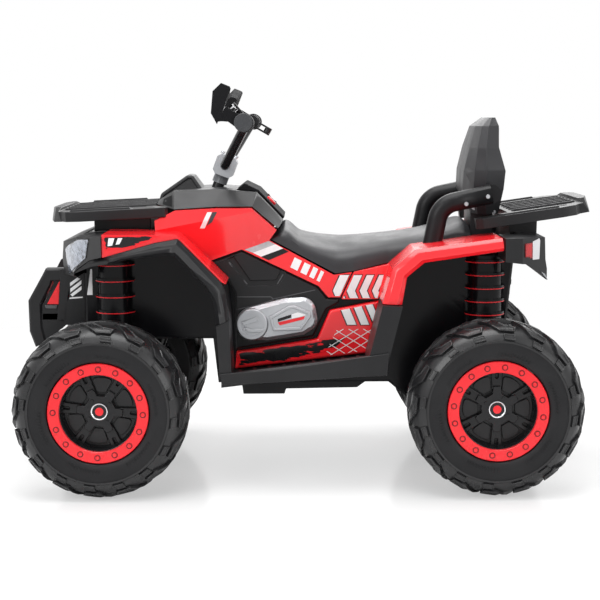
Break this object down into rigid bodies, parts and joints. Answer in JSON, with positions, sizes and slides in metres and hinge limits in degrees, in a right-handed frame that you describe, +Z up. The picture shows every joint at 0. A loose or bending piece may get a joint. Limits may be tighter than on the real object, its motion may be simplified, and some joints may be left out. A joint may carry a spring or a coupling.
{
  "type": "kids quad bike",
  "caption": "Ride-on electric quad for a child with chunky tyres, steered handlebar, saddle with backrest and armrests, footboards and luggage racks.",
  "frame": {"origin": "middle of the outline on the floor, between the wheels", "axes": "+Z up, -X towards the front of the bike, -Y towards the rider's left"},
  "size_m": [1.2, 0.7, 0.8332],
  "materials": {
    "black_plastic": "satin moulded",
    "red_plastic": "gloss moulded",
    "seat_plastic": "fine grained",
    "silver_plastic": "silver lacquer",
    "clear_lens": "clear moulded",
    "red_lens": "red moulded",
    "battery_case": "moulded",
    "gear_case": "moulded",
    "axle_steel": "zinc plated",
    "black_steel": "gloss black",
    "grip_rubber": "ribbed",
    "lever_metal": "polished",
    "control_black": "moulded",
    "button_red": "moulded",
    "tyre_black": "moulded tread",
    "rim_black": "satin black",
    "ring_red": "gloss"
  },
  "bodies": {
    "chassis": {"chassis_tub": "black_plastic", "front_fascia": "black_plastic", "front_bumper": "black_plastic", "front_rack": "black_plastic", "rear_rack": "black_plastic", "rear_fascia": "black_plastic", "tank_cover": "black_plastic", "dash_panel": "black_plastic", "front_flare_left": "black_plastic", "front_flare_right": "black_plastic", "side_cover_left": "black_plastic", "side_cover_right": "black_plastic", "footboard_left": "black_plastic", "footboard_right": "black_plastic", "tank_panel_left": "red_plastic", "tank_panel_right": "red_plastic", "lower_panel_left": "red_plastic", "lower_panel_right": "red_plastic", "rear_fender_left": "red_plastic", "rear_fender_right": "red_plastic", "front_grille": "red_plastic", "seat": "seat_plastic", "backrest": "seat_plastic", "armrest_left": "seat_plastic", "armrest_right": "seat_plastic", "engine_cover_left": "silver_plastic", "engine_cover_right": "silver_plastic", "headlight_lenses": "clear_lens", "tail_lamps": "red_lens", "battery": "battery_case", "drive_unit_left": "gear_case", "drive_unit_right": "gear_case", "rear_axle": "axle_steel", "front_beam": "black_steel"},
    "steering": {"steering_column": "black_steel", "bar_clamp": "silver_plastic", "handlebar": "black_steel", "grip_left": "grip_rubber", "grip_right": "grip_rubber", "hand_guard_left": "black_plastic", "hand_guard_right": "black_plastic"},
    "brake_lever": {"brake_lever": "lever_metal"},
    "throttle_lever": {"throttle_lever": "control_black"},
    "start_button": {"start_button": "button_red"},
    "direction_switch": {"direction_switch": "control_black"},
    "tie_rod": {"tie_rod": "axle_steel"},
    "knuckle_left": {"knuckle_left": "axle_steel"},
    "front_wheel_left": {"front_tyre_left": "tyre_black", "front_rim_left": "rim_black", "front_bead_ring_left": "ring_red"},
    "rear_wheel_left": {"rear_tyre_left": "tyre_black", "rear_rim_left": "rim_black", "rear_bead_ring_left": "ring_red"},
    "knuckle_right": {"knuckle_right": "axle_steel"},
    "front_wheel_right": {"front_tyre_right": "tyre_black", "front_rim_right": "rim_black", "front_bead_ring_right": "ring_red"},
    "rear_wheel_right": {"rear_tyre_right": "tyre_black", "rear_rim_right": "rim_black", "rear_bead_ring_right": "ring_red"}
  },
  "joints": [
    {"name": "steering_turn", "type": "hinge", "parent": "chassis", "child": "steering", "pos_m": [-0.1968, 0, 0.608], "axis": [0.3584, 0, 0.9336], "range_deg": [-30, 30]},
    {"name": "knuckle_turn_left", "type": "hinge", "parent": "chassis", "child": "knuckle_left", "pos_m": [-0.42, -0.19, 0.18], "axis": [0, 0, 1], "range_deg": [-15.2, 15.2]},
    {"name": "knuckle_turn_right", "type": "hinge", "parent": "chassis", "child": "knuckle_right", "pos_m": [-0.42, 0.19, 0.18], "axis": [0, 0, 1], "range_deg": [-15.2, 15.2]},
    {"name": "tie_rod_slide", "type": "slide", "parent": "chassis", "child": "tie_rod", "axis": [0, 1, 0], "range_m": [-0.033, 0.033]},
    {"name": "front_spin_left", "type": "hinge", "parent": "knuckle_left", "child": "front_wheel_left", "pos_m": [-0.42, -0.28, 0.18], "axis": [0, 1, 0], "continuous": true},
    {"name": "rear_spin_left", "type": "hinge", "parent": "chassis", "child": "rear_wheel_left", "pos_m": [0.38, -0.28, 0.18], "axis": [0, 1, 0], "continuous": true},
    {"name": "front_spin_right", "type": "hinge", "parent": "knuckle_right", "child": "front_wheel_right", "pos_m": [-0.42, 0.28, 0.18], "axis": [0, 1, 0], "continuous": true},
    {"name": "rear_spin_right", "type": "hinge", "parent": "chassis", "child": "rear_wheel_right", "pos_m": [0.38, 0.28, 0.18], "axis": [0, 1, 0], "continuous": true},
    {"name": "brake_pull", "type": "hinge", "parent": "steering", "child": "brake_lever", "pos_m": [-0.14873, -0.174, 0.78479], "axis": [0.766, 0, 0.6428], "range_deg": [0, 10], "stiffness_Nm_per_rad": 0.4, "springref_deg": -11.46},
    {"name": "throttle_push", "type": "hinge", "parent": "steering", "child": "throttle_lever", "pos_m": [-0.08837, 0.174, 0.73415], "axis": [0.5, 0, 0.866], "range_deg": [0, 12], "stiffness_Nm_per_rad": 0.3, "springref_deg": -11.46},
    {"name": "start_press", "type": "slide", "parent": "chassis", "child": "start_button", "axis": [-0.7286, 0, -0.685], "range_m": [0, 0.0025], "stiffness_N_per_m": 200, "springref_m": -0.001},
    {"name": "direction_rock", "type": "hinge", "parent": "chassis", "child": "direction_switch", "pos_m": [-0.08016, 0.038, 0.58244], "axis": [0, 1, 0], "range_deg": [-8, 8]}
  ],
  "couplings": [
    {"joint": "knuckle_turn_left", "follows": "steering_turn", "ratio": 0.5},
    {"joint": "knuckle_turn_right", "follows": "steering_turn", "ratio": 0.5},
    {"joint": "tie_rod_slide", "follows": "steering_turn", "m_per_rad": 0.062283}
  ]
}
